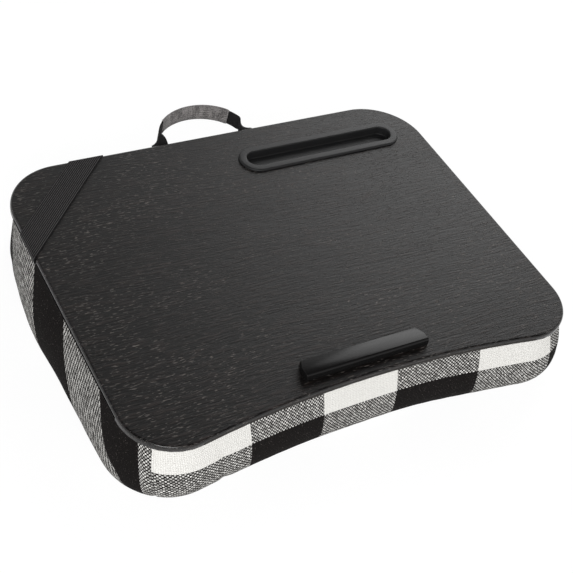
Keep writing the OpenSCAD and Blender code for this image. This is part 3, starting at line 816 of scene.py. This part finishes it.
faces, uv = [], []
for k in range(last):
    lower, upper = last - k, last - k - 1
    for i in range(count):
        j = (i + 1) % count
        quad = (k * count + i, k * count + j, (k + 1) * count + j, (k + 1) * count + i)
        faces.append(quad)
        if upper >= seam_ring:
            uv += [bottom_uv(v) for v in quad]
        else:
            panel = panel_at((around[i] + around[i + 1]) / 2)
            uv += [cloth_uv(around[i], lower, panel), cloth_uv(around[i + 1], lower, panel),
                   cloth_uv(around[i + 1], upper, panel), cloth_uv(around[i], upper, panel)]
faces.append(tuple(range(count - 1, -1, -1)))
faces.append(tuple(range(last * count, (last + 1) * count)))
uv += [bottom_uv(v) for v in faces[-2]]
uv += [(CHECK / 2, CHECK / 2)] * count
cushion = add_piece("checked_cushion", vertices, faces, cloth, uv)
soften(cushion, 60)
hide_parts("cover_front_panel", "cover_left_panel", "cover_rear_panel", "cover_right_panel",
            "cover_bottom_panel", "cover_top_panel")
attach(cushion, "desk")


# The bead bags: two sacks of thin white cloth, quite full of polystyrene beads, side by side
# inside the cover, which closes over them.
BAG_DULL, BAG_BRIGHT = (0.78, 0.77, 0.74), (0.88, 0.87, 0.85)
bag_cloth = Finish("bag_cloth", Roughness=0.9)
lumps = bag_cloth.noise(bag_cloth.place(), 240, 2)
bag_cloth.set("Base Color", bag_cloth.mix(lumps, BAG_DULL, BAG_BRIGHT))
bag_cloth.set("Normal", bag_cloth.bump(lumps, 1.2 * MM))
BAG_GAP, MIDDLE_GAP, BAG_LOW_Z, BAG_TOP_Z = 1.8 * MM, 1 * MM, 1.5 * MM, CAP_Z - 0.4 * MM
for side, label in ((-1, "left"), (1, "right")):
    half = np.where(side * points[:, 0] > 2 * MIDDLE_GAP)[0]
    if side > 0:
        split = np.argmax(np.diff(half)) + 1
        half = np.concatenate([half[split:], half[:split]])
    bag_rings = []
    for k in range(len(profile) - 1, TURN_IN - 1, -2):
        ring = rings[k][half].copy()
        ring[:, :2] -= normals[half] * BAG_GAP
        ring[:, 2] = np.clip(ring[:, 2] + BAG_GAP / 2, BAG_LOW_Z, BAG_TOP_Z)
        for end in (0, -1):
            ring[end, 0] = side * MIDDLE_GAP
        bag_rings.append(ring)
    bag = loft("bag_" + label, bag_rings, bag_cloth)
    soften(bag)
    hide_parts("bead_bag_" + label)
    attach(bag, "desk")


# The studio: a white floor that takes the desk's shadow, white surroundings, and two large soft
# lamps. The floor also glows, but only where it is seen directly, in a gloss or through glass.
FLOOR_WHITE, FLOOR_HALF, FLOOR_Z = 0.86, 6, -0.2 * MM
floor_finish = Finish("studio_floor", Roughness=0.9)
floor_finish.set("Base Color", (0.82, 0.82, 0.82))
seen = sum(floor_finish.node("ShaderNodeLightPath", output=kind) for kind in (
    "Is Camera Ray", "Is Glossy Ray", "Is Transmission Ray"))
glow = floor_finish.node("ShaderNodeEmission", None, {"Strength": 1.07})
floor_look = floor_finish.node("ShaderNodeMixShader", None, {
    0: seen.math("MINIMUM", 1) * FLOOR_WHITE, 1: floor_finish.shader, 2: glow})
floor_finish.plug(floor_finish.output.made.inputs["Surface"], floor_look)
floor_corners = [(x * FLOOR_HALF, y * FLOOR_HALF, FLOOR_Z) for x, y in ((-1, -1), (1, -1), (1, 1), (-1, 1))]
floor = add_piece("floor", floor_corners, [(0, 1, 2, 3)], floor_finish)

# The surroundings are bright near the floor and dark overhead, so that the worktop shows a
# grey sheen towards the rear and stays black at the front.
world = bpy.data.worlds.new("studio")
bpy.context.scene.world = world
world.use_nodes = True
sky = Graph(world.node_tree)
direction = sky.node("ShaderNodeTexCoord", output="Generated")
upward = sky.node("ShaderNodeSeparateXYZ", None, {"Vector": direction}, "Z")
fade = sky.node("ShaderNodeMapRange", None, {
    "Value": upward, "From Min": 0.46, "From Max": 0.76, "To Min": 1.0, "To Max": 0.0})
surroundings = sky.node("ShaderNodeBackground", None, {"Color": (1, 1, 1), "Strength": fade})
sky.node("ShaderNodeOutputWorld", None, {"Surface": surroundings})


def lamp(name, place, size, power, aim=(0, 0, 0.05)):
    data = bpy.data.lights.new(name, "AREA")
    data.size = size
    data.energy = power
    light = bpy.data.objects.new(name, data)
    light.location = place
    light.rotation_euler = (Vector(place) - Vector(aim)).to_track_quat("Z", "Y").to_euler()
    bpy.context.collection.objects.link(light)


lamp("front_lamp", (-0.9, -1.6, 1.5), 1.2, 29)
lamp("rear_lamp", (1.5, 1.3, 1.3), 1.3, 18)


# The camera looks down on the desk from the front left, slightly rolled. Its place and its
# focal length come from the straight edges of the board.
AIM = Vector((-26.35, -44.18, 78)) * MM
DISTANCE = 1104.08 * MM
AZIMUTH, ELEVATION, ROLL = 38.13, 44.38, 14.24
FOCAL_PX, FRAME_PX = 1175.33, 573
SENSOR = 36

turn, rise, roll = (math.radians(a) for a in (-AZIMUTH, ELEVATION, ROLL))
back = Vector((math.sin(turn) * math.cos(rise), -math.cos(turn) * math.cos(rise), math.sin(rise)))
level_right = Vector((0, 0, 1)).cross(back).normalized()
level_up = back.cross(level_right)
cam_right = math.cos(roll) * level_right + math.sin(roll) * level_up
cam_up = math.cos(roll) * level_up - math.sin(roll) * level_right
camera_data = bpy.data.cameras.new("camera")
camera_data.sensor_width = SENSOR
camera_data.lens = FOCAL_PX / FRAME_PX * SENSOR
camera = bpy.data.objects.new("camera", camera_data)
camera.matrix_world = Matrix.Translation(AIM + back * DISTANCE) @ Matrix(
    (cam_right, cam_up, back)).transposed().to_4x4()
bpy.context.collection.objects.link(camera)
bpy.context.scene.camera = camera
bpy.context.scene.view_settings.view_transform = "Standard"
